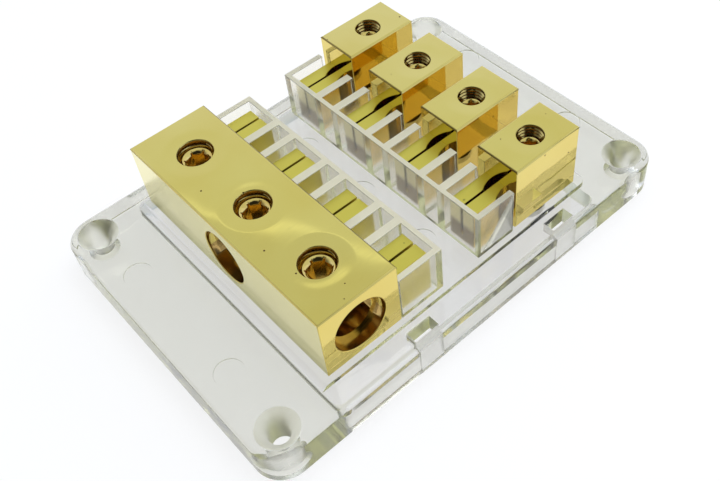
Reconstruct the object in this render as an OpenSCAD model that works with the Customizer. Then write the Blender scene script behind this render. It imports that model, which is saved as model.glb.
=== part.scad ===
// Fuse block for heavy cable: one brass bar takes the supply cable and feeds four brass outlet terminals
// through blade fuses that bridge the two rows of slotted fingers. A clear moulded base carries it all.
// Frame: +X runs from the supply bar to the outlets, +Y along the bar, +Z up.
// The origin lies under the middle of the base, in the plane that it stands on.

/* [Fuse ways] */
// Distance between neighbouring fuse ways
way_pitch = 15.4; // [14.6:0.1:17]
// Thickness of the moulded dividers beside each finger
divider_t = 1.9; // [1.2:0.1:2.4]
// Thickness of the moulded walls at both ends of a row
end_wall_t = 1.3; // [1:0.1:2]
// Thickness of the moulded wall in front of the finger tips
front_wall_t = 1.1; // [0.8:0.1:2]
// Height of the moulded rim above the fingers
rim_above = 1.5; // [0.5:0.1:3]
// Width of the open channel between the two rows
channel_w = 9; // [6:0.5:14]
// Gap between the supply bar and the moulded walls behind it
bar_wall_gap = 0.15; // [0.1:0.05:0.5]
// Gap between the dividers and the outlet terminals
divider_setback = 0.9; // [0.3:0.1:2]

/* [Brass fingers] */
// Width of a finger over both prongs
finger_w = 6.2; // [5.4:0.1:7]
// Length of a finger from its block to its tip
finger_l = 8.5; // [7:0.1:10]
// Height of a finger above its seat
finger_h = 9.2; // [8:0.1:11]
// Width of the slot that grips a fuse blade
blade_slot = 0.45; // [0.3:0.05:1.2]
// Brass left below the slot
slot_floor = 1.6; // [1:0.1:3]
// Free space on each side of a finger
finger_side_gap = 0.95; // [0.4:0.05:1.2]
// Free space between a finger's tip and the wall
finger_end_gap = 0.6; // [0.3:0.1:1.5]
// Length of the relief at the root of each outlet prong
relief_l = 3.4; // [2:0.1:5]
// Depth of the relief at the root of each outlet prong
relief_depth = 1.05; // [0.3:0.05:1.3]

/* [Brass blocks] */
// Height of the bar and of the terminals above their seat
brass_h = 15; // [14.5:0.1:18]
// Chamfer along the top edges of the brass
brass_edge = 0.25; // [0.15:0.05:0.8]
// Thickness of the supply bar from face to face
bar_w = 16.9; // [16:0.1:20]
// Width of an outlet terminal along the row
term_w = 10; // [9:0.1:11]
// Length of an outlet terminal away from the fuses
term_l = 16.8; // [16:0.1:20]

/* [Supply ports] */
// Bore for the bared supply cable
in_port_d = 8.8; // [7:0.1:9.4]
// Wider mouth of a supply port
in_mouth_d = 11.2; // [10:0.1:12]
// Depth of the wider mouth
in_mouth_depth = 2.6; // [1.5:0.1:4]
// Height of the supply ports' axes above the seat
in_port_z = 7.1; // [6.8:0.1:7.8]
// Distance of the supply ports' shared axis behind the bar's front face
in_axis_x = 8.2; // [7.6:0.1:9]
// Brass left behind the middle port
in_back_wall = 3.9; // [2.5:0.1:5]
// Brass left between a port and the fixing beside it
port_web = 0.6; // [0.4:0.1:1]
// Distance of the outer clamp screws from the bar's ends
clamp_inset = 10.1; // [9:0.1:11]

/* [Outlet ports] */
// Bore for the bared outlet cable
out_port_d = 6.4; // [5:0.1:6.8]
// Wider mouth of an outlet port
out_mouth_d = 8.2; // [7:0.1:8.6]
// Depth of the wider mouth
out_mouth_depth = 2; // [1:0.1:3]
// Depth of an outlet port
out_port_depth = 13; // [12:0.1:13.6]
// Height of the outlet ports' axes above the seat
out_port_z = 7.9; // [7.6:0.1:8.4]
// Distance of the outlet clamp screw behind the terminal's front face
out_clamp_x = 8.8; // [8:0.1:10]

/* [Clamp screws] */
// Clearance round a clamp screw in its tapped hole
thread_gap = 0.25; // [0.15:0.05:0.3]
// Diameter of a supply clamp screw
in_screw_d = 6.4; // [5.6:0.1:7]
// Length of a supply clamp screw
in_screw_l = 6; // [5:0.1:7]
// Depth of a supply clamp screw below the bar's top
in_screw_recess = 1.5; // [0.5:0.1:2]
// Width across the flats of a supply screw's socket
in_socket_af = 4.4; // [3:0.1:4.6]
// Depth of a supply screw's socket
in_socket_depth = 3; // [2:0.1:3.6]
// Turn of a supply screw's socket about its axis
in_socket_turn = 26; // [0:1:60]
// Width of the cone at the mouth of a supply screw's socket
in_socket_mouth = 0.55; // [0.2:0.05:0.65]
// Diameter of an outlet clamp screw
out_screw_d = 4.7; // [4:0.1:5.2]
// Length of an outlet clamp screw
out_screw_l = 5; // [4:0.1:5.5]
// Depth of an outlet clamp screw below the terminal's top
out_screw_recess = 2.5; // [1:0.1:3.4]
// Width across the flats of an outlet screw's socket
out_socket_af = 3; // [2:0.1:3.2]
// Depth of an outlet screw's socket
out_socket_depth = 2.5; // [1.5:0.1:3]
// Turn of an outlet screw's socket about its axis
out_socket_turn = 50; // [0:1:60]
// Width of the cone at the mouth of an outlet screw's socket
out_socket_mouth = 0.4; // [0.15:0.05:0.45]
// Chamfer round both ends of a clamp screw
screw_edge = 0.4; // [0.2:0.05:0.6]

/* [Fixing screws] */
// Diameter of a fixing screw's shank
fix_d = 3.8; // [3:0.1:4]
// Clearance round the shank
fix_gap = 0.15; // [0.1:0.05:0.3]
// Length of the shank inside the brass
fix_grip = 3.4; // [2.5:0.1:3.6]
// Free depth past the end of the shank
fix_tip_gap = 0.4; // [0.2:0.1:0.6]
// Diameter of the pan head
fix_head_d = 7.4; // [6:0.1:8]
// Height of the pan head
fix_head_h = 2.4; // [1.8:0.1:3]
// Chamfer round the pan head
fix_head_edge = 1; // [0.4:0.1:1.2]
// Length of the arms of the driver recess
fix_cross_l = 4; // [3:0.1:4.6]
// Width of the arms of the driver recess
fix_cross_w = 0.9; // [0.6:0.1:1.2]
// Depth of the driver recess
fix_cross_depth = 1.4; // [0.8:0.1:1.6]
// Distance of an outlet's fixing screw behind the terminal's front face
out_fix_x = 8.8; // [5:0.1:10]

/* [Base] */
// Length of the base plate
plate_l = 100; // [94:1:120]
// Height of the base plate
plate_t = 8; // [7:0.1:12]
// Radius of the plate's corners
plate_corner_r = 5.8; // [4.5:0.1:8]
// Chamfer round the plate's top edge
plate_edge = 0.6; // [0.2:0.1:1]
// Plastic left above the hollow underside
skin_t = 3.9; // [3:0.1:4.2]
// Thickness of the side walls beside the hollow
side_wall_t = 2.5; // [2:0.1:3]
// Distance of the hollow's ends from the platform's ends
hollow_inset = 0.7; // [0.2:0.1:3]
// Radius of the hollow's corners
hollow_corner_r = 1.5; // [1:0.1:4]
// Height of the raised platform above the plate
platform_h = 1.1; // [0.6:0.1:2]
// Length of the platform's sloping front below the bar
platform_ramp = 1.3; // [0.5:0.1:2]
// Radius of the platform's two outlet corners
platform_corner_r = 2; // [1:0.1:3]
// Platform showing in front of the bar
ledge_in = 1.2; // [0.5:0.1:3]
// Platform showing behind the outlet terminals
ledge_out = 2.4; // [1:0.1:4]
// Platform showing beside the rows
ledge_side = 1.15; // [0.6:0.05:2]
// Distance of the platform's middle from the plate's middle
platform_shift = -0.7; // [-2:0.1:2]
// Plate showing beside the platform
margin_side = 5.4; // [5.2:0.1:8]

/* [Mounting holes] */
// Distance of a mounting hole from the plate's ends
hole_inset_x = 5.8; // [5.6:0.1:7]
// Distance of a mounting hole from the plate's sides
hole_inset_y = 5.6; // [5.6:0.1:7]
// Diameter of a mounting hole
hole_d = 4.2; // [3.2:0.1:5]
// Diameter of the countersink
csk_d = 8.2; // [6.5:0.1:9]
// Chamfer round a mounting hole's lower end
hole_back_edge = 1; // [0.4:0.1:1.2]

/* [Clip slots] */
// Length of a clip slot
clip_l = 5.5; // [4:0.1:7]
// Width of a clip slot
clip_w = 2.5; // [1.5:0.1:2.6]
// Distance of a clip slot from the platform
clip_gap = 1.2; // [0.6:0.1:1.3]
// Middle of the front slots behind the plate's supply end
clip_in_x = 36.2; // [28:0.1:40]
// Middle of the rear slots before the plate's outlet end
clip_out_x = 27.9; // [22:0.1:34]

/* [Moulding marks] */
// Diameter of an ejector mark
mark_d = 5.6; // [4:0.1:7]
// Depth of an ejector mark
mark_depth = 0.15; // [0.1:0.05:0.3]
// Distance between the marks in the channel
channel_mark_pitch = 17.8; // [12:0.1:20]
// Distance of the outer marks from the plate's ends
end_mark_x = 6.2; // [5:0.1:8]
// Distance of the outer marks from the middle
end_mark_y = 15; // [8:0.1:18]

/* [Hidden] */
ways = 4;
supply_ports = 3;
over = 0.01;
past = 1;
$fn = 64;

// Moulded rows
pocket_w = finger_w + 2 * finger_side_gap;
row_w = (ways - 1) * way_pitch + pocket_w + 2 * end_wall_t;
rim_h = finger_h + rim_above;

// Places along X, from the plate's supply end to its outlet end
platform_w = row_w + 2 * ledge_side;
fuse_reach = finger_l + finger_end_gap + front_wall_t;
platform_l = platform_ramp + ledge_in + bar_w + 2 * fuse_reach + channel_w + term_l + ledge_out;
plate_w = platform_w + 2 * margin_side;
platform_x = platform_shift - platform_l / 2;
bar_x = platform_x + platform_ramp + ledge_in;
bar_back_x = bar_x + bar_w;
in_wall_x = bar_back_x + finger_l + finger_end_gap;
channel_x = in_wall_x + front_wall_t;
out_wall_x = channel_x + channel_w;
term_x = out_wall_x + fuse_reach;
platform_back_x = platform_x + platform_l;

// Heights
ceiling_z = plate_t - skin_t;
seat_z = plate_t + platform_h;
brass_top_z = seat_z + brass_h;

// Clamp screws and fixings
in_tap_d = in_screw_d + 2 * thread_gap;
out_tap_d = out_screw_d + 2 * thread_gap;
fix_hole_d = fix_d + 2 * fix_gap;
in_clamp_x = bar_x + in_axis_x;
in_clamp_pitch = row_w / 2 - clamp_inset;
bar_fix_y = in_mouth_d / 2 + port_web + fix_hole_d / 2;
in_port_depth = row_w / 2 - bar_fix_y - fix_hole_d / 2 - port_web;
mid_port_depth = bar_w - in_back_wall;

// Middle of a way, counted from the -Y end
function way_y(i) = (i - (ways - 1) / 2) * way_pitch;

// Middle of a supply clamp screw, counted from the -Y end
function clamp_y(i) = (i - 1) * in_clamp_pitch;

// Side of the bar's middle that a fixing screw is on
function fix_side(i) = 2 * i - 1;

module clear_plastic() {
    color([0.87, 0.88, 0.86, 0.45]) children();
}

module polished_brass() {
    color([0.83, 0.77, 0.4]) children();
}

module gilt_steel() {
    color([0.78, 0.66, 0.3]) children();
}

module plated_steel() {
    color([0.72, 0.73, 0.74]) children();
}

// Rounded slab about the Z axis
module rounded_slab(length, width, height, radius) {
    translate([-length / 2 + radius, -width / 2, 0])
        cube([length - 2 * radius, width, height]);
    translate([-length / 2, -width / 2 + radius, 0])
        cube([length, width - 2 * radius, height]);
    for (x = [-1, 1], y = [-1, 1])
        translate([x * (length / 2 - radius), y * (width / 2 - radius), 0])
            cylinder(h = height, r = radius);
}

// Bar along Y with a profile that narrows towards its top on both sides
module tapered_bar(base_w, length, height, edge) {
    rotate([90, 0, 0])
        linear_extrude(length, center = true)
            polygon([
                [-base_w / 2, 0],
                [base_w / 2, 0],
                [base_w / 2 - edge, height],
                [-base_w / 2 + edge, height]
            ]);
}

// Top layer of the plate with its edge chamfered all round
module chamfered_lid(length, width, edge, radius) {
    tapered_bar(length, width - 2 * radius, edge, edge);
    rotate([0, 0, 90])
        tapered_bar(width, length - 2 * radius, edge, edge);
    for (x = [-1, 1], y = [-1, 1])
        translate([x * (length / 2 - radius), y * (width / 2 - radius), 0])
            cylinder(h = edge, r1 = radius, r2 = radius - edge);
}

// Copies at the four mounting holes
module at_mounting_holes() {
    for (x = [-1, 1], y = [-1, 1])
        translate([x * (plate_l / 2 - hole_inset_x), y * (plate_w / 2 - hole_inset_y), 0])
            children();
}

// Places of the fixing screws, under the bar and under each terminal
module at_bar_fixing(i) {
    translate([in_clamp_x, fix_side(i) * bar_fix_y, 0]) children();
}

module at_outlet_fixing(i) {
    translate([term_x + out_fix_x, way_y(i), 0]) children();
}

// Hole for the shank of a fixing screw
module fixing_hole() {
    cylinder(h = seat_z + past, d = fix_hole_d);
}

// Hollow below the platform, open at the bottom
module underside_hollow() {
    translate([platform_shift, 0, -past])
        rounded_slab(platform_l - 2 * hollow_inset, plate_w - 2 * side_wall_t, ceiling_z + past,
            hollow_corner_r);
}

// Platform with a sloping front and two rounded outlet corners
module platform() {
    foot_z = plate_t - over;
    intersection() {
        rotate([90, 0, 0])
            linear_extrude(platform_w, center = true)
                polygon([
                    [platform_x, foot_z],
                    [platform_back_x, foot_z],
                    [platform_back_x, seat_z],
                    [platform_x + platform_ramp, seat_z]
                ]);
        translate([0, 0, foot_z - past]) {
            translate([platform_x - past, -platform_w / 2, 0])
                cube([platform_l + past - platform_corner_r, platform_w, platform_h + 2 * past]);
            translate([platform_x, -platform_w / 2 + platform_corner_r, 0])
                cube([platform_l, platform_w - 2 * platform_corner_r, platform_h + 2 * past]);
            for (side = [-1, 1])
                translate([
                    platform_back_x - platform_corner_r,
                    side * (platform_w / 2 - platform_corner_r),
                    0
                ])
                    cylinder(h = platform_h + 2 * past, r = platform_corner_r);
        }
    }
}

// One row of open-topped fuse cells: a front wall, two end walls and a divider on each side of a finger
module fuse_row(low_x, high_x, wall_x) {
    wall_h = platform_h + rim_h;
    translate([wall_x, -row_w / 2, plate_t])
        cube([front_wall_t, row_w, wall_h]);
    for (side = [-1, 1])
        translate([low_x, side * (row_w - end_wall_t) / 2 - end_wall_t / 2, plate_t])
            cube([high_x - low_x, end_wall_t, wall_h]);
    for (i = [0 : ways - 2]) {
        translate([low_x, way_y(i) + pocket_w / 2, plate_t])
            cube([high_x - low_x, divider_t, wall_h]);
        translate([low_x, way_y(i + 1) - pocket_w / 2 - divider_t, plate_t])
            cube([high_x - low_x, divider_t, wall_h]);
    }
}

// Countersunk mounting hole with a chamfered lower end
module mounting_hole() {
    csk_depth = (csk_d - hole_d) / 2;
    back_depth = hole_back_edge + past;
    translate([0, 0, -past])
        cylinder(h = plate_t + 2 * past, d = hole_d);
    translate([0, 0, plate_t - csk_depth])
        cylinder(h = csk_depth, d1 = hole_d, d2 = csk_d);
    translate([0, 0, plate_t])
        cylinder(h = past, d = csk_d);
    translate([0, 0, -past])
        cylinder(h = back_depth, d1 = hole_d + 2 * back_depth, d2 = hole_d);
}

// Slots for snap clips, two on each side of the rows
module clip_slots() {
    for (x = [-plate_l / 2 + clip_in_x, plate_l / 2 - clip_out_x], side = [-1, 1])
        translate([
            x - clip_l / 2,
            side * (platform_w / 2 + clip_gap + clip_w / 2) - clip_w / 2,
            -past
        ])
            cube([clip_l, clip_w, plate_t + 2 * past]);
}

// Shallow round marks that the mould's ejectors leave
module ejector_marks() {
    for (k = [-1 : 1])
        translate([channel_x + channel_w / 2, k * channel_mark_pitch, seat_z - mark_depth])
            cylinder(h = past, d = mark_d);
    for (x = [-1, 1], y = [-1, 1])
        translate([x * (plate_l / 2 - end_mark_x), y * end_mark_y, plate_t - mark_depth])
            cylinder(h = past, d = mark_d);
}

module base_plate() {
    clear_plastic()
        difference() {
            union() {
                rounded_slab(plate_l, plate_w, plate_t - plate_edge, plate_corner_r);
                translate([0, 0, plate_t - plate_edge])
                    chamfered_lid(plate_l, plate_w, plate_edge, plate_corner_r);
                platform();
                fuse_row(bar_back_x + bar_wall_gap, in_wall_x + over, in_wall_x);
                fuse_row(out_wall_x + front_wall_t - over, term_x - divider_setback, out_wall_x);
            }
            at_mounting_holes()
                mounting_hole();
            underside_hollow();
            clip_slots();
            ejector_marks();
            for (i = [0, 1])
                at_bar_fixing(i)
                    fixing_hole();
            for (i = [0 : ways - 1])
                at_outlet_fixing(i)
                    fixing_hole();
        }
}

// Brass block on the seat with all four top edges chamfered, its low X face at X = 0
module brass_block(length, width) {
    translate([length / 2, 0, seat_z])
        intersection() {
            union() {
                tapered_bar(length, width, brass_edge, 0);
                translate([0, 0, brass_h - brass_edge])
                    tapered_bar(length, width, brass_edge, brass_edge);
                translate([-length / 2, -width / 2, brass_edge - over])
                    cube([length, width, brass_h - 2 * brass_edge + 2 * over]);
            }
            rotate([0, 0, 90]) {
                translate([-width / 2, -length / 2 - past, 0])
                    cube([width, length + 2 * past, brass_h - brass_edge]);
                translate([0, 0, brass_h - brass_edge - over])
                    tapered_bar(width, length + 2 * past, brass_edge + over, brass_edge);
            }
        }
}

// Finger along +X from X = 0, before its blade slot is cut
module finger() {
    translate([-over, -finger_w / 2, seat_z])
        cube([finger_l + over, finger_w, finger_h]);
}

// Slot for a fuse blade along a finger that starts at X = 0
module finger_slot() {
    translate([0, -blade_slot / 2, seat_z + slot_floor])
        cube([finger_l + past, blade_slot, finger_h]);
}

// Round port along -X from its mouth at X = 0, with a wider mouth
module cable_port(port_d, depth, mouth_d, mouth_depth) {
    rotate([0, -90, 0]) {
        translate([0, 0, -past])
            cylinder(h = mouth_depth + past, d = mouth_d);
        cylinder(h = depth, d = port_d);
    }
}

// Blind hole in the brass for a fixing screw
module fixing_tap() {
    translate([0, 0, seat_z - past])
        cylinder(h = past + fix_grip + fix_tip_gap, d = fix_hole_d);
}

module supply_bar() {
    polished_brass()
        difference() {
            union() {
                translate([bar_x, 0, 0])
                    brass_block(bar_w, row_w);
                for (i = [0 : ways - 1])
                    translate([bar_back_x, way_y(i), 0])
                        finger();
            }
            for (i = [0 : ways - 1])
                translate([bar_back_x, way_y(i), 0])
                    finger_slot();
            for (side = [-1, 1])
                translate([in_clamp_x, side * row_w / 2, seat_z + in_port_z])
                    rotate([0, 0, side * 90])
                        cable_port(in_port_d, in_port_depth, in_mouth_d, in_mouth_depth);
            translate([bar_x, 0, seat_z + in_port_z])
                rotate([0, 0, 180])
                    cable_port(in_port_d, mid_port_depth, in_mouth_d, in_mouth_depth);
            for (i = [0 : supply_ports - 1])
                translate([in_clamp_x, clamp_y(i), seat_z + in_port_z])
                    cylinder(h = brass_h, d = in_tap_d);
            for (i = [0, 1])
                at_bar_fixing(i)
                    fixing_tap();
        }
}

// Relief on the -Y side of a prong at its root: an arc that runs out along the prong
module prong_relief(side_y) {
    arc_r = (pow(relief_l, 2) + pow(relief_depth, 2)) / (2 * relief_depth);
    relief_h = finger_h - slot_floor + past;
    translate([0, 0, seat_z + slot_floor])
        intersection() {
            translate([0, side_y + relief_depth - arc_r, 0])
                cylinder(h = relief_h, r = arc_r);
            translate([0, side_y - over, 0])
                cube([relief_l + past, relief_depth + past, relief_h]);
        }
}

module outlet_terminal(i) {
    polished_brass()
        translate([term_x, way_y(i), 0])
            difference() {
                union() {
                    brass_block(term_l, term_w);
                    rotate([0, 0, 180])
                        finger();
                }
                rotate([0, 0, 180])
                    finger_slot();
                mirror([1, 0, 0]) {
                    prong_relief(blade_slot / 2);
                    prong_relief(-finger_w / 2);
                }
                translate([term_l, 0, seat_z + out_port_z])
                    cable_port(out_port_d, out_port_depth, out_mouth_d, out_mouth_depth);
                translate([out_clamp_x, 0, seat_z + out_port_z])
                    cylinder(h = brass_h, d = out_tap_d);
                translate([out_fix_x, 0, 0])
                    fixing_tap();
            }
}

// Headless clamp screw with a hexagon socket and a conical mouth, its top at Z = 0
module clamp_screw(diameter, length, socket_af, socket_depth, socket_turn, mouth) {
    radius = diameter / 2;
    gilt_steel()
        difference() {
            rotate_extrude()
                polygon([
                    [0, -length],
                    [radius - screw_edge, -length],
                    [radius, -length + screw_edge],
                    [radius, -screw_edge],
                    [radius - screw_edge, 0],
                    [0, 0]
                ]);
            translate([0, 0, -socket_depth])
                rotate([0, 0, socket_turn])
                    cylinder(h = socket_depth + past, d = socket_af / cos(30), $fn = 6);
            translate([0, 0, -mouth])
                cylinder(h = mouth + past, d1 = socket_af, d2 = socket_af + 2 * (mouth + past));
        }
}

module supply_clamp_screw(i) {
    translate([in_clamp_x, clamp_y(i), brass_top_z - in_screw_recess])
        clamp_screw(in_screw_d, in_screw_l, in_socket_af, in_socket_depth,
            in_socket_turn, in_socket_mouth);
}

module outlet_clamp_screw(i) {
    translate([term_x + out_clamp_x, way_y(i), brass_top_z - out_screw_recess])
        clamp_screw(out_screw_d, out_screw_l, out_socket_af, out_socket_depth,
            out_socket_turn, out_socket_mouth);
}

// Pan-head screw driven upwards through the plate, its head against the hollow's ceiling
module fixing_screw() {
    head_r = fix_head_d / 2;
    shank_top_z = seat_z + fix_grip;
    plated_steel()
        difference() {
            rotate_extrude()
                polygon([
                    [0, ceiling_z - fix_head_h],
                    [head_r - fix_head_edge, ceiling_z - fix_head_h],
                    [head_r, ceiling_z - fix_head_h + fix_head_edge],
                    [head_r, ceiling_z],
                    [fix_d / 2, ceiling_z],
                    [fix_d / 2, shank_top_z],
                    [0, shank_top_z]
                ]);
            translate([0, 0, ceiling_z - fix_head_h])
                for (turn = [0, 90])
                    rotate([0, 0, turn])
                        cube([fix_cross_l, fix_cross_w, 2 * fix_cross_depth], center = true);
        }
}

module supply_fixing_screw(i) {
    at_bar_fixing(i)
        fixing_screw();
}

module outlet_fixing_screw(i) {
    at_outlet_fixing(i)
        fixing_screw();
}

base_plate();
supply_bar();
for (i = [0 : ways - 1]) {
    outlet_terminal(i);
    outlet_clamp_screw(i);
    outlet_fixing_screw(i);
}
for (i = [0 : supply_ports - 1])
    supply_clamp_screw(i);
for (i = [0, 1])
    supply_fixing_screw(i);
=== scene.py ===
"""Fuse block: a clear moulded base, a brass supply bar, four brass outlet terminals and their clamp screws.

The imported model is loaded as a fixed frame. Each operator below dresses one piece, or one group of like pieces,
on top of it, and the last one sets up the studio. All lengths are in metres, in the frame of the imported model.
"""

import itertools
import math

import bmesh
import bpy
from bpy.props import FloatProperty, FloatVectorProperty, IntProperty, PointerProperty
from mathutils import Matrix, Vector


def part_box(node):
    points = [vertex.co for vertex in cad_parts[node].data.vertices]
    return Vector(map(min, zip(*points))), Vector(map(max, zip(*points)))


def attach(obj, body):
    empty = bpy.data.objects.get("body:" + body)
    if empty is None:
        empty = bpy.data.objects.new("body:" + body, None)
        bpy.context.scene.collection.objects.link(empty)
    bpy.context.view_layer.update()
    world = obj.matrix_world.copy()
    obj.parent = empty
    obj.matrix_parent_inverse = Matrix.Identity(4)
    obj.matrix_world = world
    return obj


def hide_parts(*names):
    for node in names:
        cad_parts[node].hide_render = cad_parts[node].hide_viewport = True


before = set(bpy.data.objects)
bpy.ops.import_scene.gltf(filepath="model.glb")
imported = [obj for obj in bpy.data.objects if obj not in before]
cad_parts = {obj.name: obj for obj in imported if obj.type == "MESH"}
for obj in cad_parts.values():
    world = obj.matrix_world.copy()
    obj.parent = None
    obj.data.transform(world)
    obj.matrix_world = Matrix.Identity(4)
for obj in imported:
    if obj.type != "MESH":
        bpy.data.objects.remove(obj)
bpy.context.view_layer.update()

bl_info = {
    "name": "Fuse Block",
    "version": (1, 0, 0),
    "blender": (4, 5, 0),
    "location": "View3D > Sidebar > Fuse Block",
    "description": "Dresses the packed fuse block with clear plastic, polished brass and a studio",
    "category": "Object",
}

MM = 0.001
OUTLETS = [f"outlet_terminal_{i}" for i in range(1, 5)]
SUPPLY_SCREWS = [f"supply_clamp_screw_{i}" for i in range(1, 4)]
OUTLET_SCREWS = [f"outlet_clamp_screw_{i}" for i in range(1, 5)]
FIXINGS = [f"supply_fixing_screw_{i}" for i in range(1, 3)] + [f"outlet_fixing_screw_{i}" for i in range(1, 5)]
FIXED = "block"

# Distances within which two places count as one, as touching or as near each other
MERGED, SAME, TOUCHING, NEAR = 0.002 * MM, 0.01 * MM, 0.02 * MM, 0.1 * MM
# A distance that is plainly more than any rounding
PLAINLY = 1.0 * MM
# Angles: between faces that count as flat, at edges that get rounded, at edges that stay sharp
FLAT_ANGLE, EDGE_ANGLE, SHARP_ANGLE = (math.radians(a) for a in (0.5, 20, 38))
# Parts of a face's normal along an axis: a face that leans that way, one that looks that way, one square to it
LEANING, LOOKING, SQUARE = 0.3, 0.9, 0.98

# Features to the metre in the noises of the finishes
HANDLED_SCALE, RIPPLE_SCALE = 220.0, 70.0
PATCH_SCALE, SPECK_SCALE, HAZE_SCALE, LINE_SCALE, WAVE_SCALE = 60.0, 260.0, 150.0, 300.0, 55.0
PLATE_PATCH_SCALE, PLATE_DULL_SCALE, PLATE_PEEL_SCALE = 420.0, 600.0, 900.0
# How finely a noise is broken up within its features
SMOOTH, PLAIN, FINE = 1.0, 2.0, 3.0
# Stretch of the polishing lines, which run along X
LINE_STRETCH = (1.0, 16.0, 16.0)
# Values of a noise between which its effect fades in
HANDLED_SPAN, PATCH_SPAN, HAZE_SPAN, LINE_SPAN = (0.35, 0.75), (0.35, 0.7), (0.3, 0.7), (0.5, 0.75)
# Share of the specks' cells that stay empty, and the size of a speck as a share of its cell
SPECK_EMPTY, SPECK_REACH = 0.2, 0.05
# Roughness that handling, haze, lines, specks and the faces with painted shade add, and the spread of the plating's
# roughness
HANDLED_DULL, HAZE_DULL, LINE_DULL, SPECK_AND_SHADE_DULL, PAINTED_SHADE_DULL, PLATE_DULL_SPREAD = 0.05, 0.025, 0.03, 0.4, 0.18, 0.1
# Depth of the plating's grain
PLATE_PEEL = 0.008 * MM
# Blur of the painted shade at the foot of the outlet fingers' ends, as a share of its height
FOOT_BLUR = 0.15

# A thread's ridge: half its foot as a share of the pitch, half its crest as a share of that, and how it fades out
RIDGE_FOOT, RIDGE_CREST, FADE_REACH, FADE_SLOPE = 0.42, 0.1, 1.3, 2.5


# ---------------------------------------------------------------- sizes and colours


def length(name, description, default):
    """A length, shown in the scene's units."""
    return FloatProperty(name=name, description=description, default=default, min=0.0, unit="LENGTH", precision=5)


def share(name, description, default):
    """A plain number from 0 to 1."""
    return FloatProperty(name=name, description=description, default=default, min=0.0, max=1.0, subtype="FACTOR")


def tone(name, description, default):
    """A linear colour."""
    return FloatVectorProperty(name=name, description=description, default=default, min=0.0, max=1.0, subtype="COLOR")


class FuseBlockPlastic(bpy.types.PropertyGroup):
    """The clear moulded base"""

    tint: tone("Tint", "Colour that the surface lets through", (0.83, 0.83, 0.865))
    depth_tint: tone("Depth tint", "Colour that thick plastic takes on", (0.84, 0.84, 0.52))
    depth_density: FloatProperty(name="Depth density", description="How fast the tint builds up, per metre",
                                 default=36, min=0.0)
    ior: FloatProperty(name="Index of refraction", description="Bending of light in the plastic", default=1.49, min=1.0)
    polish: share("Polish", "Roughness of the polished faces", 0.03)
    frost: share("Frost", "Roughness of a fully grained face", 0.62)
    frost_tone: tone("Frost tone", "Colour that a fully grained face lets through", (0.80, 0.80, 0.68))
    wall_tone: tone("Wall tone", "Colour that the cell walls let through", (1.0, 0.99, 0.96))
    # Painted sheen on the cell walls' rims: a pale colour and the share of light let through, the rest showing as that
    # pale colour. Their roughness is their scuffed finish
    rim_painted_sheen: tone("Rim tone", "Colour of the cell walls' scuffed rims", (0.84, 0.79, 0.64))
    rim_clear: share("Rim clearness", "How much light the scuffed rims let through", 0.8)
    rim_dull: share("Rim dullness", "Roughness of the scuffed rims", 0.3)
    under_grain: share("Underside grain", "Share of the full grain on the underside", 0.15)
    hole_grain: share("Hole grain", "Share of the full grain in the mounting holes and the hollow", 0.7)
    wall_grain: share("Wall grain", "Share of the full grain on the cell walls and in the clip slots", 0.28)
    ceiling: length("Ceiling", "Height of the hollow's ceiling", 4.1 * MM)
    ramp_grain: share("Ramp grain", "Share of the full grain on the platform's slope", 0.35)
    rim_round: length("Rim rounding", "Rounding of the cell walls' rims", 0.16 * MM)
    platform_round: length("Platform rounding", "Rounding of the platform's top edge", 0.3 * MM)
    plate_round: length("Plate rounding", "Rounding of the plate's edges", 0.3 * MM)
    plate_corner: length("Plate corner", "Radius of the plate's corners", 5.8 * MM)
    plate_edge: length("Plate edge", "Width of the plate's bevelled edge", 0.6 * MM)
    platform_corner: length("Platform corner", "Radius of the platform's corners", 2.0 * MM)
    hole_round: length("Hole rounding", "Rounding of the mounting holes' rims", 0.14 * MM)
    hole_x: length("Hole place along X", "Distance of the mounting holes from the middle along X", 44.2 * MM)
    hole_y: length("Hole place along Y", "Distance of the mounting holes from the middle along Y", 29.4 * MM)
    hole_reach: length("Hole reach", "Distance from a hole's axis within which its rim lies", 4.2 * MM)
    ripple: length("Ripple", "Depth of the moulding's slow waves", 0.03 * MM)


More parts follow.
